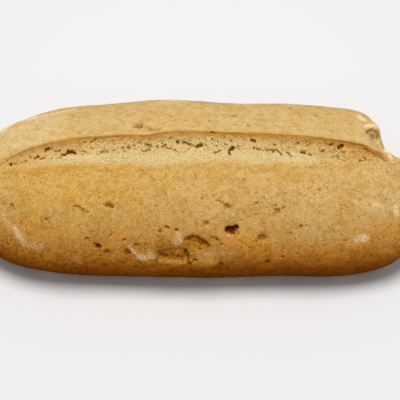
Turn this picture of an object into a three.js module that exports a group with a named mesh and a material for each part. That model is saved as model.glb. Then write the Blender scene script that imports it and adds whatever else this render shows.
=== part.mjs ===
// Rustic bread loaf: one oblong loaf, baked free-standing and split by a single slash along its crown.
// The far edge of the slash stands up as a thin lip, and the crumb slopes from under it to the near crust.
// At the right-hand end the far half stops short, with a torn hollow in its end, and the near half runs on.
// Millimetres, +Z up. X runs along the loaf and +Y points to its far half.
// Until the loaf is centred at the end, y is measured from a line along the crown.
import * as THREE from 'three';

// Size of the loaf
const LENGTH = 266;
const HALF_LENGTH = LENGTH / 2;
const NEAR_WIDTH = 52.4; // crown line to the widest line of the near half
const FAR_WIDTH = 59.3; // crown line to the widest line of the far half
const CROWN_HEIGHT = 69;
const GIRTH_HEIGHT = 25; // height of the widest line above the table

// Outline seen from above. The powers are those of superellipses: 2 is an ellipse, and more is blunter.
const LEFT_TIP = -3; // y of the loaf's left tip
const RIGHT_TIP = -13; // y of the right tip, which belongs to the near half
const NEAR_BACK = 18; // y of the near half's own back, past the end of the far half
const FAR_END = 123; // x where the far half stops
const FAR_END_STEP = 13.5; // length over which its edge steps in to the near half's back
const FAR_REACH = 126.5; // half-length of the superellipse that rounds its right-hand corner
const NEAR_LEFT_POWER = 3.3;
const NEAR_RIGHT_POWER = 4.4;
const FAR_LEFT_POWER = 2.75;
const FAR_RIGHT_POWER = 3.9;
const CROWN_POWER = 3.8;

// Section cut across the loaf
const DOME_POWER = 2.4;
const UNDERCUT = 11; // how far the base edge lies inside the widest line
const UNDERCUT_POWER = 2.1;
const BASE_LIFT = 16; // length at each tip over which the base curves up off the table
const BASE_LIFT_POWER = 2;
const FAR_END_FALL = 22; // length over which the far half sinks at its end
const FAR_END_RISE = 0.6; // what is left there of its rise, as a share of the crown's
const FAR_END_CREASE = 10; // how softly its end runs into the near half's back
const MIDDLE_SHARE = 0.25; // the crown line stays this share of the width clear of both edges

// Slash: crumb band and lip
const SLASH_LEFT = -111;
const SLASH_LEFT_Y = -6.5;
const SLASH_RIGHT = 114;
const SLASH_RIGHT_Y = -1.5;
const GAPE_POWER = 2.2;
const CRUMB_FAR = 15; // slash to the lip at mid-length
const CRUMB_NEAR = 5; // slash to the near crust at mid-length
const CRUMB_DEPTH = 9;
const CRUMB_SAG = 1.2; // more makes the crumb floor hollower
const WALL_SHARE = 0.25; // share of the band's width that the slope under the lip takes
const LIP_RAISE = 2.6;
const LIP_REACH = 9; // distance over which the far crust curls up to the lip
const SHUT_GAP = 0.5; // half-width of the band where the slash is shut

// Where the lip strays from an even curve: the place along X, its half-length, and how far the lip lies back
const LIP_STRAYS = [
  { place: -68, long: 28, back: 1.5 },
  { place: -27, long: 7, back: -1.7 },
  { place: 10, long: 24, back: 0.8 },
  { place: 66, long: 28, back: -0.95 },
];

// Hand shaping: slow swells along the loaf, and low lumps all over the crust
const NEAR_SWELL = { size: 0.7, wavelength: 80, start: -20 };
const FAR_SWELL = { size: 1.5, wavelength: 150, start: -60 };
const CROWN_SWELL = { size: 0.6, wavelength: 140, start: -50 };
const LUMP_SIZE = 0.3;
const LUMP_WAVES = [
  { wavelength: 61, along: new THREE.Vector3(0.9, 0.3, 0.3) },
  { wavelength: 43, along: new THREE.Vector3(-0.6, 0.5, 0.6) },
  { wavelength: 34, along: new THREE.Vector3(0.5, 0.8, -0.4) },
];
const FLAT_BELOW = 8; // height under which the lumps fade, so that the base stays flat

// Hollows in the crust, each with its centre, its half-length along X, its half-width and its depth
const HOLLOWS = [
  { centre: new THREE.Vector3(22, -46, 53.5), long: 4.2, wide: 4, deep: 3.2 }, // burst gas bubble
  { centre: new THREE.Vector3(3, -50.5, 47), long: 7.5, wide: 4.5, deep: 1.6 }, // blister
  { centre: new THREE.Vector3(-10, -53, 40), long: 9, wide: 5.5, deep: 2.2 }, // blister
  { centre: new THREE.Vector3(-55, -50.5, 43), long: 4, wide: 4, deep: 1.2 }, // pock
  { centre: new THREE.Vector3(108.5, 19.5, 57), long: 4, wide: 4.5, deep: 5 }, // torn end of the far half
  { centre: new THREE.Vector3(113, 14, 54), long: 3.5, wide: 3.5, deep: 2.6 }, // notch beside it
];

// Knobs on the crust, each with its centre, its half-length along X, its half-width and its height
const KNOBS = [
  { centre: new THREE.Vector3(110.5, 29, 53.5), long: 4.5, wide: 5.5, high: 3.8 }, // torn rim of the far half
  { centre: new THREE.Vector3(113.5, 6.5, 58), long: 4, wide: 4, high: 2.2 }, // tongue below it
];

// Mesh density
const MAIN_STATIONS = 86;
const END_STATIONS = 9;
const CROWDING = 0.9; // 0 spaces the stations evenly, and 1 crowds them towards both ends
const FAR_STEPS = 19;
const NEAR_STEPS = 22;
const UNDER_STEPS = 4;
const BASE_STEPS = 6;
const CRUMB_STEPS = [0.05, 0.12, 0.21, 0.33, 0.48, 0.64, 0.82]; // shares of the band, from the lip

const CRUST_COLOUR = 0xd3a861;

const { lerp, clamp, smoothstep } = THREE.MathUtils;

// Falls from 1 at t = 0 to 0 at t = 1, along a superellipse.
function blunt(t, power) {
  const inside = 1 - Math.pow(Math.min(1, Math.abs(t)), power);
  return Math.pow(inside, 1 / power);
}

function swell(x, { size, wavelength, start }) {
  return size * Math.sin((2 * Math.PI * (x - start)) / wavelength);
}

function tipLine(x) {
  return lerp(LEFT_TIP, RIGHT_TIP, smoothstep(x, -HALF_LENGTH, HALF_LENGTH));
}

function nearTaper(x) {
  return blunt(x / HALF_LENGTH, x < 0 ? NEAR_LEFT_POWER : NEAR_RIGHT_POWER);
}

function nearEdge(x) {
  return lerp(tipLine(x), -NEAR_WIDTH - swell(x, NEAR_SWELL), nearTaper(x));
}

function nearBack(x) {
  return lerp(tipLine(x), NEAR_BACK, nearTaper(x));
}

// The far half ends in its own rounded shoulder, and past it only the near half's back is left.
function farEdge(x) {
  const step = smoothstep(x, FAR_END - FAR_END_STEP, FAR_END);
  const corner = blunt(Math.min(x, FAR_END) / FAR_REACH, FAR_RIGHT_POWER) * (1 - step);
  const shoulder = x < 0 ? blunt(x / HALF_LENGTH, FAR_LEFT_POWER) : corner;
  return lerp(nearBack(x), FAR_WIDTH + swell(x, FAR_SWELL), shoulder);
}

// Rise of the far half at x, as a share of the crown's.
function farRise(x) {
  return lerp(1, FAR_END_RISE, smoothstep(x, FAR_END - FAR_END_FALL, FAR_END));
}

function crownHeight(x) {
  const top = CROWN_HEIGHT + swell(x, CROWN_SWELL);
  return lerp(GIRTH_HEIGHT, top, blunt(x / HALF_LENGTH, CROWN_POWER));
}

function baseHeight(x) {
  const past = Math.max(0, Math.abs(x) - (HALF_LENGTH - BASE_LIFT));
  return GIRTH_HEIGHT * (1 - blunt(past / BASE_LIFT, BASE_LIFT_POWER));
}

function slashLine(x) {
  const along = clamp((x - SLASH_LEFT) / (SLASH_RIGHT - SLASH_LEFT), 0, 1);
  return lerp(SLASH_LEFT_Y, SLASH_RIGHT_Y, along);
}

// How far the slash gapes at x: 0 at its two ends, 1 at its middle.
function gape(x) {
  const middle = (SLASH_LEFT + SLASH_RIGHT) / 2;
  return blunt((x - middle) / (SLASH_RIGHT - middle), GAPE_POWER);
}

function lipStray(x) {
  let stray = 0;
  for (const { place, long, back } of LIP_STRAYS) {
    stray += back * Math.exp(-(((x - place) / long) ** 2));
  }
  return stray;
}

// One section across the loaf at x, as [y, z] points from the far girth over the top to the near girth,
// round under the near side, along the base and up the far side.
function crossSection(x) {
  const near = nearEdge(x);
  const far = farEdge(x);
  const crown = crownHeight(x);
  const base = baseHeight(x);
  const back = nearBack(x);
  const ridge = clamp(slashLine(x), lerp(near, back, MIDDLE_SHARE), lerp(back, near, MIDDLE_SHARE));
  const open = gape(x);
  const lip = ridge + Math.max(SHUT_GAP, CRUMB_FAR * open + lipStray(x));
  const low = ridge - Math.max(SHUT_GAP, CRUMB_NEAR * open);

  const rise = farRise(x);
  const arch = (y, edge) => blunt((y - ridge) / (edge - ridge), DOME_POWER);
  const farArch = (y) => Math.max(arch(y, back), rise * arch(y, far));
  const domeAt = (y) => {
    if (y < ridge) return lerp(GIRTH_HEIGHT, crown, arch(y, near));
    const blur = Math.min(FAR_END_CREASE * (1 - rise), far - back, y - ridge, far - y);
    const height = (farArch(y - blur) + 2 * farArch(y) + farArch(y + blur)) / 4;
    return lerp(GIRTH_HEIGHT, crown, height);
  };
  const lipAt = (y) => LIP_RAISE * open * Math.exp(-(y - lip) / LIP_REACH);

  // Points across one half of the dome, in even steps of angle from its girth to y = stop.
  const dome = (edge, stop, steps) => {
    const end = Math.acos(Math.pow((stop - ridge) / (edge - ridge), DOME_POWER / 2));
    return Array.from({ length: steps + 1 }, (_, i) => {
      const cosine = Math.cos((end * i) / steps);
      return ridge + (edge - ridge) * Math.pow(cosine, 2 / DOME_POWER);
    });
  };
  const points = dome(far, lip, FAR_STEPS).map((y) => [y, domeAt(y) + lipAt(y)]);
  for (const share of CRUMB_STEPS) {
    const y = lerp(lip, low, share);
    const wall = Math.exp(-share / WALL_SHARE);
    const sunk = CRUMB_DEPTH * (1 - wall) * Math.pow(1 - share, CRUMB_SAG);
    points.push([y, domeAt(y) + open * (LIP_RAISE * wall - sunk)]);
  }
  points.push(...dome(near, low, NEAR_STEPS).reverse().map((y) => [y, domeAt(y)]));

  // The quarter round from the girth down to the base.
  const under = Math.min(UNDERCUT, MIDDLE_SHARE * (far - near));
  const roundUnder = (edge, inward) =>
    Array.from({ length: UNDER_STEPS }, (_, i) => {
      const angle = ((i + 1) / UNDER_STEPS) * (Math.PI / 2);
      const inset = under * (1 - Math.pow(Math.cos(angle), 2 / UNDERCUT_POWER));
      const drop = Math.pow(Math.sin(angle), 2 / UNDERCUT_POWER);
      return [edge + inward * inset, lerp(GIRTH_HEIGHT, base, drop)];
    });
  points.push(...roundUnder(near, 1));
  for (let i = 1; i < BASE_STEPS; i++) {
    points.push([lerp(near + under, far - under, i / BASE_STEPS), base]);
  }
  points.push(...roundUnder(far, -1).reverse());
  return points;
}

// Stations from one x to another, closer together at both. The first is left out.
function stations(from, to, steps) {
  return Array.from({ length: steps }, (_, i) => {
    const even = (i + 1) / steps;
    const crowded = (1 - Math.cos(Math.PI * even)) / 2;
    return lerp(from, to, lerp(even, crowded, CROWDING));
  });
}

// 1 at the centre of a hollow or knob, falling away to 0 round it.
function nearness(point, { centre, long, wide }) {
  const along = (point.x - centre.x) / long;
  const across = Math.hypot(point.y - centre.y, point.z - centre.z) / wide;
  return Math.exp(-along * along - across * across);
}

// How far the crust stands out at a point, from its lumps, hollows and knobs.
function relief(point) {
  let out = 0;
  for (const { wavelength, along } of LUMP_WAVES) {
    out += LUMP_SIZE * Math.sin((2 * Math.PI * point.dot(along)) / wavelength);
  }
  out *= smoothstep(point.z, 0, FLAT_BELOW);
  for (const hollow of HOLLOWS) out -= hollow.deep * nearness(point, hollow);
  for (const knob of KNOBS) out += knob.high * nearness(point, knob);
  return out;
}

function loafGeometry() {
  const main = stations(-HALF_LENGTH, FAR_END, MAIN_STATIONS);
  const end = stations(FAR_END, HALF_LENGTH, END_STATIONS).slice(0, -1);
  const rings = [...main, ...end].map((x) => crossSection(x).map(([y, z]) => [x, y, z]));
  const around = rings[0].length;
  const positions = rings.flat(2);
  const leftPole = positions.length / 3;
  positions.push(-HALF_LENGTH, LEFT_TIP, GIRTH_HEIGHT);
  const rightPole = leftPole + 1;
  positions.push(HALF_LENGTH, RIGHT_TIP, GIRTH_HEIGHT);

  const index = [];
  const last = (rings.length - 1) * around;
  for (let j = 0; j < around; j++) {
    const next = (j + 1) % around;
    for (let here = 0; here < last; here += around) {
      const there = here + around;
      index.push(here + j, there + next, there + j);
      index.push(here + j, here + next, there + next);
    }
    index.push(leftPole, next, j);
    index.push(rightPole, last + j, last + next);
  }
  const geometry = new THREE.BufferGeometry();
  geometry.setAttribute('position', new THREE.Float32BufferAttribute(positions, 3));
  geometry.setIndex(index);
  geometry.computeVertexNormals();

  const { position, normal } = geometry.attributes;
  const point = new THREE.Vector3();
  const outward = new THREE.Vector3();
  for (let i = 0; i < position.count; i++) {
    point.fromBufferAttribute(position, i);
    outward.fromBufferAttribute(normal, i);
    point.addScaledVector(outward, relief(point));
    position.setXYZ(i, point.x, point.y, point.z);
  }

  // The origin is under the middle of the loaf, on the table.
  geometry.computeBoundingBox();
  const middle = geometry.boundingBox.getCenter(new THREE.Vector3());
  geometry.translate(-middle.x, -middle.y, -geometry.boundingBox.min.z);
  geometry.computeVertexNormals();
  return geometry;
}

const crust = new THREE.MeshStandardMaterial({ color: CRUST_COLOUR, roughness: 0.9, metalness: 0 });
const loaf = new THREE.Mesh(loafGeometry(), crust);
loaf.name = 'loaf';

const part = new THREE.Group();
part.add(loaf);

export default part;
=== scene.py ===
import math
import random

import bmesh
import bpy
import numpy as np
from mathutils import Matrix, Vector, noise
from mathutils.bvhtree import BVHTree


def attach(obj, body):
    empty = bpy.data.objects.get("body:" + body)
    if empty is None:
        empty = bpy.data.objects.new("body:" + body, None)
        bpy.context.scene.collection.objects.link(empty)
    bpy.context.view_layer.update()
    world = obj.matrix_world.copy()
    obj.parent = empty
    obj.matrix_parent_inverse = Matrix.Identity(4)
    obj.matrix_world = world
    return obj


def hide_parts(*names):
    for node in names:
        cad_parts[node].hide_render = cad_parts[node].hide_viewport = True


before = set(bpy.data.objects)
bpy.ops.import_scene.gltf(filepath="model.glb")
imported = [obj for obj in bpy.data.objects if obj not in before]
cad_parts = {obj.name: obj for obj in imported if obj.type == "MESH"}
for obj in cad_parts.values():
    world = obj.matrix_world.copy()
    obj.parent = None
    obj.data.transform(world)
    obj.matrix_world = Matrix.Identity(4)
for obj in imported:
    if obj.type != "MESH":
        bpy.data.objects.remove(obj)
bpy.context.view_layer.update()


# Camera
# A long lens looks down on the loaf's near side, at the photograph's angle and framing.
# Both tips of the loaf lie just outside the frame.
PHOTO_PIXELS = 400
SENSOR_MM = 36
LENS_MM = 92.25
LOOK_AT = Vector((0.004, -0.0128, 0.030))
CAMERA_DISTANCE = 0.62
CAMERA_ELEVATION = math.radians(55)

camera = bpy.data.objects.new("camera", bpy.data.cameras.new("camera"))
camera.data.lens = LENS_MM
camera.data.sensor_width = SENSOR_MM
backwards = Vector((0, -math.cos(CAMERA_ELEVATION), math.sin(CAMERA_ELEVATION)))
camera.location = LOOK_AT + CAMERA_DISTANCE * backwards
camera.rotation_euler = (math.pi / 2 - CAMERA_ELEVATION, 0, 0)
bpy.context.scene.collection.objects.link(camera)
bpy.context.scene.camera = camera
bpy.context.view_layer.update()


# Loaf
# One free-standing oblong loaf of wheat dough, shaped by hand, rolled in flour and slashed once along its
# crown. It was baked on the oven floor: the crust is thin and matte, the slash tore open into pale, porous
# crumb, and gas bubbles burst through the lower side of the near half.
MM = 0.001
SLASH_LEFT, SLASH_RIGHT = -111 * MM, 114 * MM
CRUMB_WIDTH, CRUMB_NARROWEST = 20 * MM, 0.5 * MM
GAPE_POWER = 2.2
LIP_ANGLE = math.radians(42)
LIP_LOWEST = 60.8 * MM
CRUMB_LOWEST = 50 * MM


def vertices(mesh):
    """The mesh's points and normals, as arrays."""
    points = np.empty(len(mesh.vertices) * 3, np.float32)
    mesh.vertices.foreach_get("co", points)
    normals = np.empty(len(mesh.vertices) * 3, np.float32)
    mesh.vertex_normals.foreach_get("vector", normals)
    return points.reshape(-1, 3).astype(float), normals.reshape(-1, 3).astype(float)


def smoothstep(value, low, high):
    """0 up to low, 1 from high on, and a soft rise between, or a fall where high is below low."""
    t = np.clip((value - low) / (high - low), 0, 1)
    return t * t * (3 - 2 * t)


def gape(x):
    """How far the slash gapes at x: 0 at its ends, 1 in its middle."""
    middle = (SLASH_LEFT + SLASH_RIGHT) / 2
    along = np.minimum(1, np.abs(x - middle) / (SLASH_RIGHT - middle))
    return (1 - along**GAPE_POWER) ** (1 / GAPE_POWER)


def noise_at(points, size, start=0):
    """Smooth noise from -1 to 1 at each point, with lumps of that size."""
    shift = Vector((start, start, start))
    return np.array([noise.noise(Vector(p) / size + shift) for p in points])


PORE_STRETCH = 0.6
PORE_WARP = 0.3
PORE_FLOOR = 0.4


def pores(points, spacing, opening, start=0):
    """1 in the middle of an open pore and 0 between pores, which lie about that spacing apart.

    The pores are longer along the loaf than across it, and bent by a noise that Blender seeds by the clock,
    so their shapes differ a little from run to run.
    """
    nearest = np.empty(len(points))
    for i, (x, y, z) in enumerate(points):
        cell = Vector((PORE_STRETCH * x, y, z)) / spacing + Vector((start, start, start))
        cell += PORE_WARP * noise.noise_vector(2 * cell)
        nearest[i] = noise.voronoi(cell)[0][0]
    return smoothstep(nearest, opening, PORE_FLOOR * opening)


# The dough's form is the solid's, with its faces made finer and the lip of the slash kept sharp.
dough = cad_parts["loaf"].data.copy()
for name in ("custom_normal", "sharp_edge", "sharp_face"):
    if name in dough.attributes:
        dough.attributes.remove(dough.attributes[name])
form = bmesh.new()
form.from_mesh(dough)
bmesh.ops.remove_doubles(form, verts=form.verts, dist=0.01 * MM)
bmesh.ops.join_triangles(
    form,
    faces=form.faces,
    angle_face_threshold=math.radians(50),
    angle_shape_threshold=math.radians(60),
)
crease = form.edges.layers.float.new("crease_edge")
lip_points = {}
for edge in form.edges:
    middle = (edge.verts[0].co + edge.verts[1].co) / 2
    in_slash = SLASH_LEFT < middle.x < SLASH_RIGHT and middle.z > LIP_LOWEST
    if in_slash and edge.calc_face_angle(0) > LIP_ANGLE:
        edge[crease] = 1.0
        lip_points.update({v.co.x: v.co.copy() for v in edge.verts})
form.to_mesh(dough)
form.free()
loaf = bpy.data.objects.new("bread_loaf", dough)
bpy.context.scene.collection.objects.link(loaf)
finer = loaf.modifiers.new("finer", "SUBSURF")
finer.levels = finer.render_levels = 1
graph = bpy.context.evaluated_depsgraph_get()
dough = bpy.data.meshes.new_from_object(loaf.evaluated_get(graph))
loaf.modifiers.clear()
loaf.data = dough
skin = BVHTree.FromObject(loaf, bpy.context.evaluated_depsgraph_get())

lip_x = np.array(sorted(lip_points))
lip_y = np.array([lip_points[x].y for x in lip_x])
lip_z = np.array([lip_points[x].z for x in lip_x])


def crumb_place(points):
    """Place across the torn crumb: 0 at the lip, 1 at the near crust."""
    x, y, _ = points.T
    return (np.interp(x, lip_x, lip_y) - y) / np.maximum(CRUMB_WIDTH * gape(x), CRUMB_NARROWEST)


CRUMB_START = (0, 0.02)
CRUMB_END = (1.27, 0.85)
SLOPE_END = (0.68, 0.36)
FLOOR_THINS = (55 * MM, 95 * MM)


def crumb_share(points):
    """1 on the torn crumb and 0 on the crust. It fades where the crumb runs into the near crust."""
    place = crumb_place(points)
    ragged = place + 0.14 * noise_at(points, 14 * MM, 21) + 0.08 * noise_at(points, 4 * MM, 25)
    share = smoothstep(place, *CRUMB_START) * smoothstep(ragged, *CRUMB_END)
    return share * (gape(points[:, 0]) > 0.05) * (points[:, 2] > CRUMB_LOWEST)


def slope_share(points):
    """1 on the porous slope under the lip and 0 on the crumb's smoother floor, which thins to the right."""
    ragged = crumb_place(points) + 0.15 * noise_at(points, 9 * MM, 2)
    return smoothstep(ragged - 0.6 * smoothstep(points[:, 0], *FLOOR_THINS), *SLOPE_END)


def from_lip(points):
    """The distance to the lip of the slash."""
    x, y, z = points.T
    return np.hypot(y - np.interp(x, lip_x, lip_y), z - np.interp(x, lip_x, lip_z))


def under_pixel(px, py):
    """The point of the loaf's skin under a pixel of the photograph."""
    scale = SENSOR_MM / LENS_MM / PHOTO_PIXELS
    ray = Vector(((px - PHOTO_PIXELS / 2) * scale, (PHOTO_PIXELS / 2 - py) * scale, -1))
    point, _, _, _ = skin.ray_cast(camera.location, camera.matrix_world.to_3x3() @ ray)
    return point


def along_line(pixels, step):
    """Pixels about that step apart along a line through the given ones."""
    for (x0, y0), (x1, y1) in zip(pixels, pixels[1:]):
        steps = max(1, round(math.hypot(x1 - x0, y1 - y0) / step))
        for i in range(steps + 1):
            yield x0 + (x1 - x0) * i / steps, y0 + (y1 - y0) * i / steps


MARK_STRETCH = 0.8
marks = []


def mark(start, end, width, deep, soft, stretch):
    """Keeps a mark: its middle line, its width and depth in mm, its rim's softness and its stretch."""
    marks.append((np.array(start), np.array(end), width / 2, deep, soft, stretch))


def mark_line(width, deep, pixels, soft, lower):
    """Keeps the marks along a line of pixels.

    They go some pixels lower for each mm of depth, because a sunken floor looks higher.
    """
    places = [under_pixel(px, py + lower * max(deep, 0)) for px, py in pixels]
    for start, end in zip(places, places[1:]):
        mark(start, end, width, deep, soft, MARK_STRETCH)


# Holes and cracks in the crumb: width and depth in mm, and the pixels of the line that each follows.
# They are made a little narrower and shallower under the lip, and deeper further down, which also darkens
# their painted shade there.
CRUMB_HOLES = [
    (1.8, 2.0, [(10.4, 162.6), (11, 163.4)]),
    (1.0, 1.1, [(14, 163.2), (16.5, 162.5)]),
    (1.1, 0.9, [(6.8, 160.5), (7.4, 160.5)]),
    (1.0, 0.4, [(11.6, 159.5), (12.4, 159.3)]),
    (0.9, 0.9, [(20.5, 161.5), (22.5, 161.3)]),
    (1.1, 1.1, [(24.3, 160.6), (26, 160.3)]),
    (0.9, 0.9, [(30, 155.5), (30.8, 158)]),
    (1.4, 1.2, [(34.5, 157.8), (38, 156)]),
    (1.4, 1.1, [(41, 158.5), (44, 157.3)]),
    (1.0, 0.9, [(51.3, 157.5), (51.8, 157.5)]),
    (2.2, 1.4, [(45.5, 150.5), (47.5, 148.5)]),
    (1.5, 0.6, [(48.5, 149.3), (52, 149)]),
    (0.9, 0.7, [(54.5, 150), (57, 151.3), (58.5, 150.8)]),
    (1.2, 0.9, [(58.5, 150.5), (60, 149.8)]),
    (1.0, 0.5, [(56.5, 157.8), (59, 158)]),
    (1.1, 0.9, [(60.3, 157.2), (60.7, 156.6)]),
    (1.8, 1.4, [(61.8, 153.8), (64, 154), (66, 152.5), (68, 151.5)]),
    (2.4, 1.6, [(68, 151), (71, 150.6), (74.5, 152)]),
    (0.8, 0.5, [(71.8, 146.9), (72, 147.6)]),
    (1.1, 0.8, [(83.5, 142.6), (85.7, 142.5)]),
    (0.8, 0.5, [(77, 143.6), (79, 143.2)]),
    (1.2, 0.9, [(90.5, 142.4), (93.5, 141), (96.5, 139.2)]),
    (0.9, 0.8, [(90.5, 147.5), (92.5, 148.3), (94.5, 147.8)]),
    (0.7, 0.5, [(96.5, 146.7), (98.5, 146)]),
    (0.8, 0.6, [(80.5, 151.3), (82.5, 150.2), (86, 151), (87, 152)]),
    (0.9, 0.6, [(82, 153.5), (83.5, 153.4)]),
    (0.9, 0.7, [(97.5, 153.5), (100.5, 152.3)]),
    (0.8, 0.4, [(64.2, 145.6), (65, 145.3)]),
    (0.8, 0.4, [(46, 146), (48, 145.5)]),
    (1.5, 1.1, [(101.5, 151), (103.5, 151)]),
    (1.3, 0.8, [(106.6, 150.4), (107.3, 149.7)]),
    (0.9, 0.7, [(102, 143.4), (103, 143.2)]),
    (0.8, 0.5, [(111, 148.3), (112, 147.9)]),
    (0.9, 0.5, [(116.3, 148.5), (118, 148.2)]),
    (1.8, 0.5, [(113, 142.2), (114, 141.8)]),
    (1.3, 0.9, [(121.5, 147.2), (124.5, 147)]),
    (1.4, 1.1, [(127.5, 147.5), (129.5, 147.3)]),
    (0.7, 0.4, [(132.3, 144.5), (132.3, 145.5)]),
    (0.9, 0.5, [(116.5, 137.2), (117.8, 137)]),
    (1.0, 0.7, [(122, 139.4), (123.4, 139.2)]),
    (1.5, 0.6, [(138, 143.3), (140.5, 142.8)]),
    (1.5, 1.1, [(145.5, 145), (147.5, 144.2), (151, 146)]),
    (1.4, 1.0, [(141.5, 149.8), (145, 150.8)]),
    (1.3, 1.0, [(146.5, 149.5), (148, 148.8), (150, 149.3)]),
    (1.6, 0.9, [(156.8, 146), (157.2, 147)]),
    (1.8, 1.1, [(162.5, 146), (165, 144.5)]),
    (1.2, 0.8, [(165.5, 147.3), (169, 148), (171, 147.5)]),
    (1.0, 0.7, [(170.3, 137.8), (171.2, 137.6)]),
    (0.9, 0.5, [(158, 141.4), (159.2, 141.2)]),
    (1.6, 1.2, [(177, 142.2), (178.2, 141.8)]),
    (1.5, 1.2, [(182.5, 142), (186, 142), (188, 143.5), (190.5, 144)]),
    (1.3, 0.8, [(193, 144.8), (195, 145.3)]),
    (2.0, 1.5, [(196.8, 145.8), (199, 144.8), (201.5, 144.5)]),
    (1.5, 0.8, [(173.5, 149.6), (175.5, 149)]),
    (0.8, 0.5, [(177, 151.5), (179, 152)]),
    (0.9, 0.5, [(184.5, 152), (187, 151.3)]),
    (0.8, 0.5, [(188, 139.7), (189, 139.3)]),
    (0.8, 0.5, [(192, 137.7), (192.7, 137.3)]),
    (0.9, 0.4, [(116, 157.5), (117.5, 157.5)]),
    (0.9, 0.5, [(127.5, 157), (128.7, 156.6)]),
    (1.8, 0.9, [(212, 132.8), (214.5, 133.1)]),
    (1.3, 0.8, [(211.5, 139), (212.6, 139.1)]),
    (1.0, 0.7, [(224, 136.4), (225, 136.2)]),
    (1.0, 0.7, [(205.5, 144.5), (207.5, 145.2)]),
    (1.0, 0.6, [(202, 146.1), (203, 146)]),
    (0.8, 0.5, [(219, 144.5), (220, 144.5)]),
    (0.8, 0.5, [(223, 146.5), (224.5, 147.5)]),
    (1.4, 0.8, [(224.5, 143.7), (226.5, 144.5)]),
    (2.2, 1.7, [(230.6, 148.2), (232.8, 147)]),
    (1.6, 1.3, [(229.3, 150.5), (229.8, 153)]),
    (1.2, 0.7, [(236.5, 146.5), (239.5, 148.5)]),
    (1.4, 1.0, [(214.5, 152.5), (217, 151.5), (220.5, 149.5)]),
    (0.9, 0.4, [(244.5, 147.2), (245.4, 147.8)]),
    (1.9, 1.5, [(251.5, 140.2), (254.5, 140.8)]),
    (1.4, 1.1, [(253.5, 147.2), (254.5, 147.3)]),
    (1.3, 1.0, [(257.5, 148), (259.5, 148.5)]),
    (1.4, 1.2, [(266.5, 149.5), (270, 149), (273, 150.2), (276, 149.5)]),
    (1.3, 1.3, [(277, 149.5), (279, 151.5), (281.5, 153.5)]),
    (1.4, 0.9, [(286.5, 151.5), (288.5, 152.5), (291, 155.5)]),
    (1.0, 0.5, [(283, 143.6), (284.3, 143.3)]),
    (0.9, 0.5, [(285.5, 141.6), (286.7, 141.4)]),
    (0.7, 0.5, [(282, 149), (284, 149.5)]),
    (0.8, 0.4, [(288.5, 146.8), (289.5, 146.6)]),
    (0.7, 0.4, [(295, 156.4), (295.5, 156.7)]),
    (0.9, 0.4, [(235.5, 138.6), (236.8, 138.4)]),
    (0.9, 0.5, [(237.8, 132.6), (238.2, 133.6)]),
    (2.2, 1.8, [(302, 150.8), (304, 151)]),
    (1.6, 1.5, [(310, 153), (310.8, 154.3)]),
    (1.6, 1.0, [(321.5, 150.3), (324, 149.8)]),
    (1.5, 1.1, [(330, 144.8), (333, 144.3)]),
    (2.4, 1.8, [(338.8, 147.2), (340.5, 146.2), (342.2, 145.6)]),
    (1.1, 0.8, [(337.6, 156.6), (338.5, 156.5)]),
    (1.0, 0.7, [(355.3, 153.5), (356.8, 153.3)]),
    (0.9, 0.5, [(346.5, 158.6), (347.8, 158.4)]),
    (1.3, 1.1, [(360, 159.5), (361, 159.4)]),
    (1.3, 1.0, [(364.5, 156.3), (366, 157.5)]),
    (1.0, 0.8, [(367, 151.4), (369, 151.5)]),
    (1.6, 0.8, [(364, 148.8), (370, 151.6), (376, 154.6), (382, 157.4), (388, 161)]),
    (0.9, 0.5, [(310, 145.7), (311, 145.4)]),
    (0.8, 0.4, [(323, 143.1), (324, 142.9)]),
    (0.8, 0.4, [(329, 151.4), (330, 151.2)]),
    (0.7, 0.4, [(344, 152.1), (345, 151.9)]),
    (0.7, 0.4, [(372.5, 159.6), (373.5, 159.4)]),
]
for width, deep, line in CRUMB_HOLES:
    down = smoothstep(crumb_place(np.array([under_pixel(*line[0])]))[0], 0.1, 0.45)
    mark_line(width * (0.9 + 0.13 * down), deep * (0.8 + 0.5 * down), line, soft=-0.05, lower=0.3)

# The large burst bubble low on the near side
BURST_BUBBLE = [
    (4.8, 2.2, [(229.2, 228.8), (231.4, 228.8)]),
    (3.2, 2.0, [(232, 228.2), (236, 226.6)]),
    (3.0, 1.9, [(231.6, 229.8), (232.6, 232.2)]),
    (1.4, 0.7, [(236.8, 229), (238, 232), (238, 235)]),
]
for width, deep, line in BURST_BUBBLE:
    mark_line(width, deep, line, soft=-0.1, lower=0.6)

# The arched crease and the torn hollow below it
TORN_HOLES = [
    (2.4, 0.8, [(185.6, 239.4), (188.6, 238.6)]),
    (3.4, 1.0, [(188, 238.6), (192.5, 237.4)]),
    (2.6, 0.9, [(193, 236.8), (197.4, 237.4)]),
    (3.4, 1.1, [(198.6, 238.8), (200.6, 241.2)]),
    (3.6, 1.2, [(202, 240.6), (205, 243)]),
    (2.8, 0.9, [(205.4, 242.8), (208.8, 245.8)]),
    (1.8, 0.6, [(193.6, 240.4), (196.4, 241.6)]),
    (3.4, 0.9, [(160, 252), (162, 254.4)]),
    (2.6, 0.8, [(163.6, 255), (167, 255.8)]),
    (2.4, 0.5, [(168, 255.4), (172, 256)]),
    (2.2, 0.9, [(171.5, 253.5), (173.5, 255.6)]),
    (2.4, 0.8, [(177.5, 256.2), (181, 257.2), (185, 256.2)]),
    (3.4, 1.3, [(185.4, 251), (187, 253.4), (187.5, 255.6)]),
    (1.6, 0.6, [(170, 249.4), (176, 248.4), (183, 249.4)]),
]
for width, deep, line in TORN_HOLES:
    mark_line(width, deep, line, soft=0.3, lower=0.6)

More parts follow.
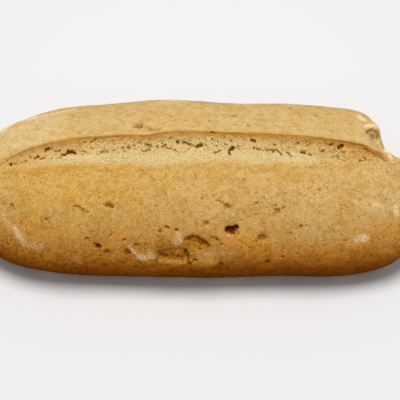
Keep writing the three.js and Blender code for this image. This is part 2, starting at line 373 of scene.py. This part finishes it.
# Soft pits and hollows in the crust, and swellings where the depth is below 0
CRUST_PITS = [
    (3.0, 0.8, [(206.3, 223.4), (206.9, 223.4)]),
    (1.4, 0.8, [(218, 200.2), (219.6, 200.6)]),
    (1.1, 0.6, [(220.9, 201.9), (224.1, 203.5)]),
    (2.6, 0.9, [(226, 204.8), (229, 206.2)]),
    (2.8, 1.0, [(276.2, 210.2), (278.2, 210.2)]),
    (1.5, 0.7, [(282.9, 207.6), (284.3, 207.2)]),
    (1.2, 0.5, [(275.4, 205.4), (277, 205.2)]),
    (1.6, 0.9, [(300.7, 225.6), (301.3, 225.6)]),
    (1.6, 0.4, [(288.1, 233.5), (290.9, 233.5)]),
    (4.4, 1.0, [(260.6, 237.9), (263.6, 236.7)]),
    (2.2, 0.6, [(212.4, 237.6), (213.6, 237.6)]),
    (1.8, 1.1, [(216.1, 238.5), (216.9, 238.7)]),
    (1.5, 0.8, [(220.8, 244.8), (222.2, 244.4)]),
    (1.3, 0.6, [(249.1, 247.5), (249.9, 247.5)]),
    (1.8, 0.8, [(220.2, 263), (221.8, 263)]),
    (1.6, 0.8, [(267.1, 260.6), (268.9, 260.6)]),
    (1.4, 0.8, [(282.7, 256.6), (283.3, 256.6)]),
    (1.6, 0.9, [(199.6, 248.5), (201.4, 248.9)]),
    (1.8, 1.0, [(189.6, 262.1), (189.6, 261.7)]),
    (1.3, 0.9, [(194, 258.7), (196, 258.7)]),
    (2.0, 0.8, [(11.7, 205.5), (12.3, 205.5)]),
    (1.9, 0.8, [(74.6, 205.6), (77.9, 206)]),
    (1.4, 0.6, [(79.6, 207), (80.8, 208)]),
    (1.8, 0.7, [(82.6, 209.4), (83.4, 209.6)]),
    (1.4, 0.6, [(86.9, 212.3), (87.5, 212.3)]),
    (1.2, 0.7, [(99.2, 197), (99.8, 197)]),
    (3.0, 0.8, [(107.2, 204.8), (110.8, 205.2)]),
    (1.6, 1.1, [(111.3, 206.4), (112.7, 206.8)]),
    (1.2, 0.6, [(141.7, 204), (142.3, 204)]),
    (1.2, 0.6, [(156.7, 206), (157.3, 206)]),
    (2.2, 0.8, [(159.7, 231), (160.3, 231)]),
    (1.5, 0.9, [(165.4, 226.5), (168.2, 227.1)]),
    (2.0, 1.1, [(175.3, 229.6), (175.9, 229.6)]),
    (1.4, 0.7, [(86.2, 238.5), (87.8, 238.5)]),
    (1.3, 0.7, [(109.5, 235.8), (112.5, 233.8)]),
    (1.5, 0.8, [(123.7, 239.8), (125.3, 239.8)]),
    (2.6, 2.0, [(97.6, 245), (98.8, 245.4)]),
    (2.8, 0.8, [(105.3, 251.5), (107.7, 251.5)]),
    (3.4, 1.0, [(126.5, 250.6), (128.5, 252.6)]),
    (2.2, 0.6, [(135.5, 245), (138.5, 245)]),
    (1.3, 0.9, [(133.6, 125.8), (136.4, 125)]),
    (1.1, 1.2, [(136.6, 126.2), (138.4, 124.4)]),
    (1.4, 1.3, [(138.6, 126.6), (141.8, 125.4)]),
    (1.0, 0.9, [(140.6, 124.2), (143.6, 124)]),
    (2.6, 0.5, [(147, 128.4), (152, 129), (158, 129)]),
    (0.9, 0.6, [(231.2, 115.9), (236.8, 114.7)]),
    (1.2, 0.6, [(247.1, 125), (248.9, 125)]),
    (4.0, 0.7, [(373, 137), (373, 136)]),
    (7.0, 0.5, [(163, 253), (172, 251.6), (180, 250.6), (186.5, 253)]),
    (4.6, 0.2, [(164, 241), (168, 245)]),
    (4.0, 0.2, [(136, 244), (141, 246)]),
    (5.0, 0.2, [(190, 242), (197, 246)]),
    (2.0, 0.9, [(367.5, 132.5), (371, 130), (374.5, 129.5), (377, 132), (378.6, 135), (378, 137.5)]),
    (1.2, -0.4, [(135.4, 124.6), (136.4, 124.6)]),
    (1.6, -0.5, [(139.6, 123.6), (141.2, 123.6)]),
    (1.0, -0.4, [(143.6, 126.2), (146.6, 128)]),
    (3.4, -0.6, [(160.5, 260), (168, 261), (176, 262), (185, 261)]),
    (2.2, -0.4, [(175.5, 252.6), (182.5, 251.6)]),
    (10.0, -0.5, [(193, 257.5), (211, 259.5)]),
    (2.6, -0.3, [(225.5, 235), (229, 236), (233, 236.6)]),
    (2.2, -0.6, [(366, 127), (372, 126.2), (377, 126.2)]),
    (1.8, -0.5, [(378.6, 138.5), (379, 143.5)]),
    (2.2, -0.5, [(384.5, 150), (387.5, 152.6), (390, 155.5)]),
]
for width, deep, line in CRUST_PITS:
    mark_line(width, deep, line, soft=0.35, lower=0.6)

# Small burst bubbles all over the crust, but not at its base. Their widths and half lengths are in mm.
BUBBLES = 160
BUBBLE_SEED = 4
BUBBLES_ABOVE = 8 * MM
BUBBLE_WIDTH, BUBBLE_EXTRA = 0.8, 0.8
BUBBLE_HALF_LENGTHS = (0.1, 0.6)
strewn = random.Random(BUBBLE_SEED)
faces = dough.polygons
centres = np.array([face.center for face in faces])
areas = np.array([face.area for face in faces])
on_crust = (crumb_share(centres) < 0.02) & (centres[:, 2] > BUBBLES_ABOVE)
for index in strewn.choices(range(len(faces)), weights=areas * on_crust, k=BUBBLES):
    centre = faces[index].center
    width = BUBBLE_WIDTH + BUBBLE_EXTRA * strewn.random() ** 2
    across = Vector((0, strewn.uniform(-1, 1), 1))
    side = faces[index].normal.cross(across) * strewn.uniform(*BUBBLE_HALF_LENGTHS) * MM
    mark(centre - side, centre + side, width, deep=0.4 * width, soft=0.2, stretch=0)


def near_marks(points, room):
    """Each mark, the points about that room in mm from it, and how far they lie from its line and above it.

    A mark with a stretch runs on along the line of sight, so it keeps its width on a tilted face.
    """
    sight = np.array(backwards)
    order = np.argsort(points[:, 0])
    sorted_x = points[order, 0]
    for start, end, reach, deep, soft, stretch in marks:
        margin = (2.5 * reach + room) * MM
        left, right = sorted((start[0], end[0]))
        first, last = np.searchsorted(sorted_x, (left - margin, right + margin))
        some = order[first:last]
        offset = points[some] - start
        line = end - start
        share = np.clip(offset @ line / max(line @ line, 1e-12), 0, 1)
        offset = (offset - share[:, None] * line) / MM
        offset -= stretch * (offset @ sight)[:, None] * sight
        yield reach, deep, soft, some, np.linalg.norm(offset, axis=1), offset[:, 1] + offset[:, 2]


NO_MARK_NEAR = 9.0


def room_to_marks(points):
    """How far each point lies outside the nearest mark, in mm."""
    outside = np.full(len(points), NO_MARK_NEAR)
    for reach, _, _, some, away, _ in near_marks(points, room=3):
        outside[some] = np.minimum(outside[some], away - reach)
    return outside


# Edges are split on the porous slope and near marks, in steps: how near to a mark, and the length past
# which an edge is split, in mm
SPLITS = [(1.6, 0.9), (0.8, 0.6), (0.4, 0.4)]
for near, longest in SPLITS:
    points, _ = vertices(dough)
    porous = (crumb_share(points) > 0.3) & (slope_share(points) > 0.2)
    detailed = (room_to_marks(points) < near) | porous
    form = bmesh.new()
    form.from_mesh(dough)
    split = [
        edge
        for edge in form.edges
        if edge.calc_length() > longest * MM and any(detailed[vert.index] for vert in edge.verts)
    ]
    bmesh.ops.subdivide_edges(form, edges=split, cuts=1, use_grid_fill=True)
    form.to_mesh(dough)
    form.free()

# The crust is lumpy and the crumb torn: the height and size of the lumps in mm, and where their noise
# starts. Both fade out at the base, and the tears begin a little below the lip.
CRUST_LUMPS = [(0.25, 11, 0), (0.10, 4, 5)]
CRUMB_TEARS = [(0.40, 6, 9), (0.25, 2.2, 3)]
TEARS_FROM_LIP = (0.5 * MM, 3.5 * MM)
LUMPS_FROM_BASE = (0.5 * MM, 6 * MM)


def layered(points, layers):
    """Layers of noise on top of each other, in mm."""
    return sum(high * noise_at(points, size * MM, start) for high, size, start in layers)


points, normals = vertices(dough)
crumb = crumb_share(points)
slope = crumb * slope_share(points)
off_lip = smoothstep(from_lip(points), *TEARS_FROM_LIP)
rise = (1 - crumb) * layered(points, CRUST_LUMPS) + crumb * off_lip * layered(points, CRUMB_TEARS)
rise *= smoothstep(points[:, 2], *LUMPS_FROM_BASE)

# Pores are open on the slope, less so at its left end and under the lip. Their depths are in mm.
SMALL_PORE_DEPTH, SMALL_PORE_SPACING = 0.5, 1.2 * MM
LARGE_PORE_DEPTH, LARGE_PORE_SPACING = 0.8, 2.6 * MM
PORES_FROM_LIP = (1.5 * MM, 5.5 * MM)
inside = np.flatnonzero(slope > 0.05)
small = SMALL_PORE_DEPTH * pores(points[inside], SMALL_PORE_SPACING, opening=0.40, start=7)
large = LARGE_PORE_DEPTH * pores(points[inside], LARGE_PORE_SPACING, opening=0.30)
open_more = 0.4 + 0.6 * smoothstep(points[inside, 0], -75 * MM, -35 * MM)
open_more += 0.7 * smoothstep(crumb_place(points[inside]), 0.15, 0.45)
open_more *= slope[inside] * smoothstep(from_lip(points[inside]), *PORES_FROM_LIP)
depth = np.zeros(len(points))
depth[inside] = np.maximum(small, large) * open_more

# Marks are sunk or raised. Their rims waver and are rough, and the crust round a sunken one is stained.
# The rims and stains are in shares of a mark's half width.
RIM_OUTER, RIM_INNER = 1.3, 0.35
STAIN_OUTER, STAIN_INNER = 2.2, 0.6
WAVER, WAVER_SIZE = 0.6 * MM, 1.7 * MM
ROUGHNESS, ROUGH_SIZE = 0.35, 0.9 * MM
lift = np.zeros(len(points))
stain = np.zeros(len(points))
waver = np.stack([noise_at(points, WAVER_SIZE, start) for start in (50, 60, 70)], axis=1)
coarse = noise_at(points, ROUGH_SIZE, 80)
for reach, deep, soft, some, away, above in near_marks(points + WAVER * waver, room=2):
    rough = min(ROUGHNESS, ROUGHNESS / reach) * coarse[some]
    hollow = smoothstep(away / reach + rough, RIM_OUTER + soft, RIM_INNER - soft)
    if deep > 0:
        hollow *= 1 + 0.25 * np.clip(above / reach, -1, 1) + 0.3 * coarse[some]
        depth[some] = np.maximum(depth[some], deep * hollow)
        around = smoothstep(away / reach, STAIN_OUTER, STAIN_INNER)
        stain[some] = np.maximum(stain[some], around * min(1, 0.7 + deep))
    else:
        lift[some] = np.maximum(lift[some], -deep * hollow)
depth -= lift
points_cut = points + normals * ((rise - depth) * MM)[:, None]
dough.vertices.foreach_set("co", points_cut.astype(np.float32).ravel())
dough.update()
dough.shade_smooth()

# Flour: strength, radius in mm, and the pixels that a smear runs through
FLOUR = [
    (0.50, 4.0, [(3, 216), (8, 223), (14, 230), (19, 237), (26, 244), (33, 246), (39, 246)]),
    (0.85, 3.0, [(15, 229), (20, 237)]),
    (1.00, 3.4, [(141, 256.5), (146, 257), (150, 255.5)]),
    (0.80, 1.7, [(130, 247), (133, 251), (137, 255)]),
    (0.90, 2.6, [(175.5, 242), (178.5, 240.5)]),
    (0.60, 3.2, [(178, 235), (178, 239)]),
    (0.30, 4.0, [(69, 258), (79, 261)]),
    (0.34, 6.0, [(212, 253), (222, 252), (230, 256)]),
    (0.35, 3.0, [(303, 254), (308, 254)]),
    (0.95, 3.0, [(358, 239.5), (365, 238)]),
    (0.40, 3.0, [(348, 245), (357, 241)]),
    (0.40, 3.0, [(357, 202), (372, 205), (383, 207)]),
    (0.90, 2.0, [(396, 208), (397, 214)]),
    (0.35, 3.0, [(29, 201), (33, 202)]),
    (1.30, 3.4, [(2, 131), (12, 124), (22, 120), (33, 118)]),
    (0.55, 2.6, [(33, 118), (75, 109)]),
    (0.50, 1.6, [(58, 118.5), (60, 118.5)]),
    (0.80, 1.2, [(315, 106), (319, 106)]),
    (1.20, 3.4, [(359.5, 117), (362, 118.6)]),
    (1.50, 2.0, [(366, 127), (372, 126), (377, 126)]),
    (1.30, 1.7, [(386, 151.5), (388.5, 153.6), (391, 156.5)]),
    (0.40, 3.0, [(81, 157), (93, 158)]),
]
flour = np.zeros(len(points))
for strength, radius, smear in FLOUR:
    for px, py in along_line(smear, radius):
        point = under_pixel(px, py)
        if point:
            away = np.linalg.norm(points - np.array(point), axis=1)
            flour = np.maximum(flour, strength * np.exp(-((away / (radius * MM)) ** 2)))
flour *= 0.85 + 0.6 * noise_at(points, 3 * MM, 40)

# Flour also lies in patches on the far side, and on all of the underside.
FAR_SIDE = (30 * MM, 45 * MM)
UNDERSIDE = (0.3, 0.9)
patchy = smoothstep(noise_at(points, 16 * MM, 30), 0.05, 0.6)
flour = np.maximum(flour, 0.5 * patchy * smoothstep(points[:, 1], *FAR_SIDE))
flour = np.maximum(flour, (0.35 + 0.5 * patchy) * smoothstep(-normals[:, 2], *UNDERSIDE))

# The toasted band under the lip: places along the loaf and the band's width there, in mm. A fainter warmth
# goes further down, and the near crust is darker and more orange along the crumb's edge.
BAND_PLACES = (-110, -70, -50, -20, 20, 85, 105)
BAND_WIDTHS = (2.2, 2.8, 2.8, 3.2, 3.2, 3.6, 4.8)
lengthwise = points[:, 0]
lip = np.interp(lengthwise, lip_x, lip_y)
opening = gape(lengthwise)
under_lip = crumb_place(points) > 0
band = np.interp(lengthwise / MM, BAND_PLACES, BAND_WIDTHS) * MM
below = from_lip(points) / band
toast = smoothstep(below, 1.15, 0.2) * smoothstep(from_lip(points), 0, 0.6 * MM) * under_lip
toast *= smoothstep(opening, 0.12, 0.36) * (0.3 + 0.7 * smoothstep(lengthwise, -100 * MM, -70 * MM))
warmth = smoothstep(below, 2.3, 0.8) * under_lip * smoothstep(opening, 0.3, 0.6)
past = lip - CRUMB_WIDTH * opening - points[:, 1]
near_edge = smoothstep(past, 0, 2.5 * MM) * smoothstep(past, 9 * MM, 4 * MM)
near_edge *= smoothstep(opening, 0.1, 0.4) * (0.55 + 0.45 * smoothstep(lengthwise, -55 * MM, -85 * MM))

# The crumb is browner at both ends of the slash, and from further in on its slope.
at_left_end = smoothstep(lengthwise, -70 * MM, -110 * MM)
at_right_end = 0.65 * smoothstep(lengthwise, 70 * MM, 100 * MM)
slope_left = 0.6 * smoothstep(lengthwise, -50 * MM, -75 * MM)
slope_right = 0.4 * smoothstep(lengthwise, 30 * MM, 70 * MM)
ends = np.maximum(crumb * (at_left_end + at_right_end), slope * (slope_left + slope_right))

# The far half begins at the lip, within so many mm of it, and gradually where the slash closes.
FAR_FROM, FAR_TO, FAR_TO_CLOSED = -1.2, 0.4, 20
far_half = smoothstep(
    points[:, 1] - lip,
    FAR_FROM * MM,
    (FAR_TO + FAR_TO_CLOSED * smoothstep(opening, 0.7, 0)) * MM,
)

# What the material reads at each point: the depth in mm, and how much there is of each of the rest
for name, values in (
    ("crumb", crumb),
    ("slope", slope),
    ("floor", (crumb - slope) * smoothstep(opening, 0.45, 0.85)),
    ("ends", ends),
    ("far", far_half),
    ("toast", toast),
    ("warmth", warmth),
    ("edge", near_edge),
    ("depth", depth),
    ("stain", stain),
    ("flour", flour),
):
    layer = dough.attributes.new(name, "FLOAT", "POINT")
    layer.data.foreach_set("value", values.astype(np.float32))

bread = bpy.data.materials.new("bread")
bread.use_nodes = True
tree = bread.node_tree


def give(socket, value):
    """Links a socket to the value, or sets it."""
    if isinstance(value, bpy.types.NodeSocket):
        tree.links.new(value, socket)
    else:
        socket.default_value = value


def add(kind, inputs, **settings):
    """Adds a shader node, with its settings, and its inputs set or linked."""
    made = tree.nodes.new(kind)
    for name, value in settings.items():
        setattr(made, name, value)
    for name, value in inputs.items():
        give(made.inputs[name], value)
    return made


def blend(factor, under, over, mode="MIX"):
    """The colour under, with the colour over laid on it by that factor."""
    mix = add("ShaderNodeMix", {}, data_type="RGBA", blend_type=mode)
    give(mix.inputs[0], factor)
    for socket, colour in ((mix.inputs[6], under), (mix.inputs[7], over)):
        give(socket, (*colour, 1) if isinstance(colour, tuple) else colour)
    return mix.outputs[2]


def ramp(value, low, high, start=0.0, end=1.0, kind="SMOOTHSTEP"):
    """From start, where the value is low, to end, where it is high, softly unless the kind is linear."""
    inputs = {"Value": value, "From Min": low, "From Max": high, "To Min": start, "To Max": end}
    return add("ShaderNodeMapRange", inputs, interpolation_type=kind).outputs["Result"]


def chain(operation, values):
    """All the values put together by one operation."""
    total = values[0]
    for value in values[1:]:
        made = add("ShaderNodeMath", {}, operation=operation)
        give(made.inputs[0], total)
        give(made.inputs[1], value)
        total = made.outputs[0]
    return total


def plus(*values):
    return chain("ADD", values)


def times(*values):
    return chain("MULTIPLY", values)


def cloud(scale, detail=3.0, roughness=0.6):
    """Cloudy noise, with lumps about 1 m / scale across."""
    inputs = {"Vector": spot, "Scale": scale, "Detail": detail, "Roughness": roughness}
    return add("ShaderNodeTexNoise", inputs).outputs["Fac"]


def painted(name):
    """A value that the loaf's points carry."""
    return add("ShaderNodeAttribute", {}, attribute_name=name).outputs["Fac"]


spot = add("ShaderNodeTexCoord", {}).outputs["Object"]
along, _, height = add("ShaderNodeSeparateXYZ", {"Vector": spot}).outputs
mottle = cloud(130, 4)
fine = cloud(360, 5, 0.8)
grain = cloud(1000, 3, 0.8)
sunk = painted("depth")
far = painted("far")

# The crust's browning low on the side, with painted shade that darkens it towards the bottom: the height
# in mm, then the colour there. The line between the colours is uneven. It lies lower on the left, at the
# right tip, on swellings and on the far half. On swellings the lower line is a painted highlight.
BROWNING_AND_SHADE = [
    (12, (0.195, 0.049, 0.002)),
    (20, (0.315, 0.085, 0.003)),
    (28, (0.500, 0.176, 0.012)),
    (36, (0.700, 0.297, 0.041)),
    (44, (0.745, 0.360, 0.071)),
]
BROWN_SHADE_START, BROWN_SHADE_SPAN = 13 * MM, 100 * MM
BROWN_SHADE_MOTTLE = (2.5 * MM, 21.5 * MM)
FAR_LOWER = 13 * MM
uneven = plus(
    height,
    ramp(mottle, 0, 1, *BROWN_SHADE_MOTTLE, kind="LINEAR"),
    ramp(along, 0.02, -0.03, 0, 0.003),
    ramp(along, 0.096, 0.128, 0, 0.005),
    ramp(sunk, 0, -0.6, 0, 0.013),
    times(far, FAR_LOWER),
)
browned_and_shaded = ramp(uneven, BROWN_SHADE_START, BROWN_SHADE_START + BROWN_SHADE_SPAN, kind="LINEAR")
browning_and_shade = add("ShaderNodeValToRGB", {"Fac": browned_and_shaded})
stops = browning_and_shade.color_ramp.elements
for index, (stop, colour) in enumerate(BROWNING_AND_SHADE):
    element = stops[index] if index < 2 else stops.new(1)
    element.position = stop * MM / BROWN_SHADE_SPAN
    element.color = (*colour, 1)

# The crust's top: golden on the left, straw on the right, pale on the far half and dusty at both tips
GOLDEN = (0.640, 0.382, 0.104)
STRAW = (0.642, 0.406, 0.146)
PALE = (0.640, 0.434, 0.180)
DUSTY = (0.720, 0.515, 0.250)
drift = plus(along, times(cloud(30), 0.10))
top = blend(ramp(drift, -0.04, 0.13), GOLDEN, STRAW)
far_top = times(far, ramp(height, 0.022, 0.058))
top = blend(far_top, top, PALE)
top = blend(times(ramp(along, 0.085, 0.120, 0, 0.6), ramp(height, 0.041, 0.055)), top, DUSTY)
top = blend(ramp(along, -0.098, -0.118, 0, 0.4), top, DUSTY)
top = blend(times(far_top, ramp(along, -0.06, -0.10)), top, DUSTY)

# Browning and painted shade turn into top, lower down on the right but for its tip. On the right the turn
# is also lighter, and what lies below it is less orange.
TURN_CAST = (1.14, 1.08, 1.00)
LOW_CAST = (1.00, 1.04, 1.18)
turn = plus(uneven, ramp(along, -0.02, 0.06, 0, 0.010), ramp(along, 0.080, 0.115, 0, -0.008))
crust = blend(ramp(turn, 0.058, 0.076), browning_and_shade.outputs["Color"], top)
on_right = ramp(along, 0.0, 0.025)
turning = times(on_right, ramp(turn, 0.085, 0.065), ramp(turn, 0.051, 0.065), ramp(along, 0.112, 0.082))
crust = blend(turning, crust, TURN_CAST, "MULTIPLY")
crust = blend(times(on_right, ramp(turn, 0.062, 0.054)), crust, LOW_CAST, "MULTIPLY")

# The crust is darker and more orange beside the slash, patchy, speckled, scorched low down and stained
# round its marks.
EDGE_CAST = (0.93, 0.85, 0.66)
ORANGE_CAST = (0.98, 0.925, 0.77)
OLIVE_CAST = (0.89, 0.86, 0.74)
SPECK = (0.52, 0.44, 0.26)
DARK_GRAIN = (0.66, 0.60, 0.46)
STAIN = (0.76, 0.66, 0.45)
crust = blend(painted("edge"), crust, EDGE_CAST, "MULTIPLY")
crust = blend(ramp(cloud(75), 0.48, 0.62), crust, ORANGE_CAST, "MULTIPLY")
crust = blend(ramp(cloud(230, 2), 0.46, 0.60), crust, OLIVE_CAST, "MULTIPLY")
clusters = times(ramp(cloud(800, 2), 0.42, 0.30), ramp(cloud(110, 2), 0.40, 0.58))
crust = blend(times(clusters, ramp(far_top, 0, 1, 1.0, 0.5)), crust, SPECK, "MULTIPLY")
scorch = times(ramp(uneven, 0.068, 0.052), ramp(cloud(420, 4, 0.7), 0.53, 0.38))
crust = blend(times(scorch, ramp(along, 0.0, 0.03, 1.0, 0.65)), crust, DARK_GRAIN, "MULTIPLY")
crust = blend(times(painted("stain"), ramp(fine, 0.62, 0.38)), crust, STAIN, "MULTIPLY")

# The crumb: tan on its slope, cream on its floor, browner at both ends, specked, and dotted on the right
TAN = (0.688, 0.486, 0.208)
CREAM = (0.692, 0.525, 0.250)
END_TAN = (0.610, 0.360, 0.100)
PIT_AND_SHADE = (0.57, 0.43, 0.21)
flat = painted("floor")
crumb_colour = blend(flat, TAN, CREAM)
crumb_colour = blend(painted("ends"), crumb_colour, END_TAN)
torn = times(plus(painted("slope"), times(flat, 0.9)), ramp(along, -0.09, -0.05, 0.4, 1.0))
crumb_colour = blend(times(torn, ramp(cloud(1300, 2), 0.46, 0.34)), crumb_colour, SPECK, "MULTIPLY")
dots = times(ramp(along, 0.055, 0.085), ramp(cloud(900, 1), 0.42, 0.32))
crumb_colour = blend(dots, crumb_colour, PIT_AND_SHADE, "MULTIPLY")

# Crust and crumb together: the toasted band, then the marks and pores, stained and with painted shade that
# is darker the deeper they are
WARM_CAST = (1.0, 0.92, 0.74)
TOASTED = (0.64, 0.295, 0.048)
TOASTED_RIGHT = (0.51, 0.235, 0.042)
CRUMB_PIT_AND_SHADE = (0.54, 0.45, 0.24)
DEEP_SHADE = (0.180, 0.030, 0.000)
CRUMB_DEEP_SHADE = (0.185, 0.056, 0.001)
in_crumb = painted("crumb")
colour = blend(in_crumb, crust, crumb_colour)
colour = blend(painted("warmth"), colour, WARM_CAST, "MULTIPLY")
colour = blend(painted("toast"), colour, blend(ramp(along, 0.06, 0.10), TOASTED, TOASTED_RIGHT))
# Marks and pores: a pit stain with painted shade, then dark painted shade where they are deep
colour = blend(ramp(sunk, 0.1, 0.9), colour, blend(in_crumb, PIT_AND_SHADE, CRUMB_PIT_AND_SHADE), "MULTIPLY")
colour = blend(ramp(sunk, 0.8, 1.9), colour, blend(in_crumb, DEEP_SHADE, CRUMB_DEEP_SHADE))

# Grain all over, calmer on the far half, then a painted highlight on the swellings and the flour on top
LIGHT_GRAIN = (1.24, 1.26, 1.32)
RIDGE_HIGHLIGHT = (1.20, 1.25, 1.40)
FLOUR_WHITE = (0.98, 0.71, 0.39)
dark_fine = times(ramp(far_top, 0, 1, 0.6, 0.3), ramp(fine, 0.50, 0.34))
colour = blend(dark_fine, colour, DARK_GRAIN, "MULTIPLY")
dark_grain = times(ramp(far_top, 0, 1, 0.9, 0.45), ramp(grain, 0.50, 0.32))
colour = blend(dark_grain, colour, DARK_GRAIN, "MULTIPLY")
colour = blend(ramp(grain, 0.52, 0.70), colour, LIGHT_GRAIN, "MULTIPLY")
# Painted highlight on the swellings
colour = blend(ramp(sunk, -0.1, -0.6), colour, RIDGE_HIGHLIGHT, "MULTIPLY")
dusting = times(painted("flour"), ramp(cloud(700, 4, 0.8), 0.30, 0.66, 0.12, 1.0))
colour = blend(ramp(dusting, 0.05, 0.65, 0, 0.95), colour, FLOUR_WHITE)

shader = tree.nodes["Principled BSDF"]
tree.links.new(colour, shader.inputs["Base Color"])
shader.inputs["Roughness"].default_value = 0.9
shader.inputs["Specular IOR Level"].default_value = 0.02
bump = add("ShaderNodeBump", {"Height": grain, "Strength": 0.6, "Distance": 0.7 * MM})
tree.links.new(bump.outputs["Normal"], shader.inputs["Normal"])
dough.materials.clear()
dough.materials.append(bread)
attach(loaf, "root")
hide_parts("loaf")


# Floor and light
# A plain pale floor, one broad lamp overhead and a little behind the loaf, and even light from all
# round.
FLOOR_HALF = 4.0
FLOOR_GREY = (0.78, 0.78, 0.78, 1)
LAMP_WIDTH = 0.5
LAMP_POWER = 13
LAMP_BACK, LAMP_HEIGHT = 0.08, 1.25
LAMP_ABOVE_AIM = 1.22
AROUND_STRENGTH = 0.35

floor_mesh = bpy.data.meshes.new("floor")
sheet = bmesh.new()
bmesh.ops.create_grid(sheet, x_segments=1, y_segments=1, size=FLOOR_HALF)
sheet.to_mesh(floor_mesh)
sheet.free()
floor = bpy.data.objects.new("floor", floor_mesh)
bpy.context.scene.collection.objects.link(floor)
pale = bpy.data.materials.new("pale_floor")
pale.use_nodes = True
pale.node_tree.nodes["Principled BSDF"].inputs["Base Color"].default_value = FLOOR_GREY
pale.node_tree.nodes["Principled BSDF"].inputs["Roughness"].default_value = 0.9
floor.data.materials.append(pale)

lamp = bpy.data.objects.new("lamp", bpy.data.lights.new("lamp", "AREA"))
lamp.data.shape = "DISK"
lamp.data.size = LAMP_WIDTH
lamp.data.energy = LAMP_POWER
lamp.location = (0, LAMP_BACK, LAMP_HEIGHT)
lamp.rotation_euler = (-math.atan2(LAMP_BACK, LAMP_ABOVE_AIM), 0, 0)
bpy.context.scene.collection.objects.link(lamp)
world = bpy.data.worlds.new("world")
world.use_nodes = True
world.node_tree.nodes["Background"].inputs["Color"].default_value = (1, 1, 1, 1)
world.node_tree.nodes["Background"].inputs["Strength"].default_value = AROUND_STRENGTH
bpy.context.scene.world = world
bpy.context.scene.view_settings.view_transform = "Standard"
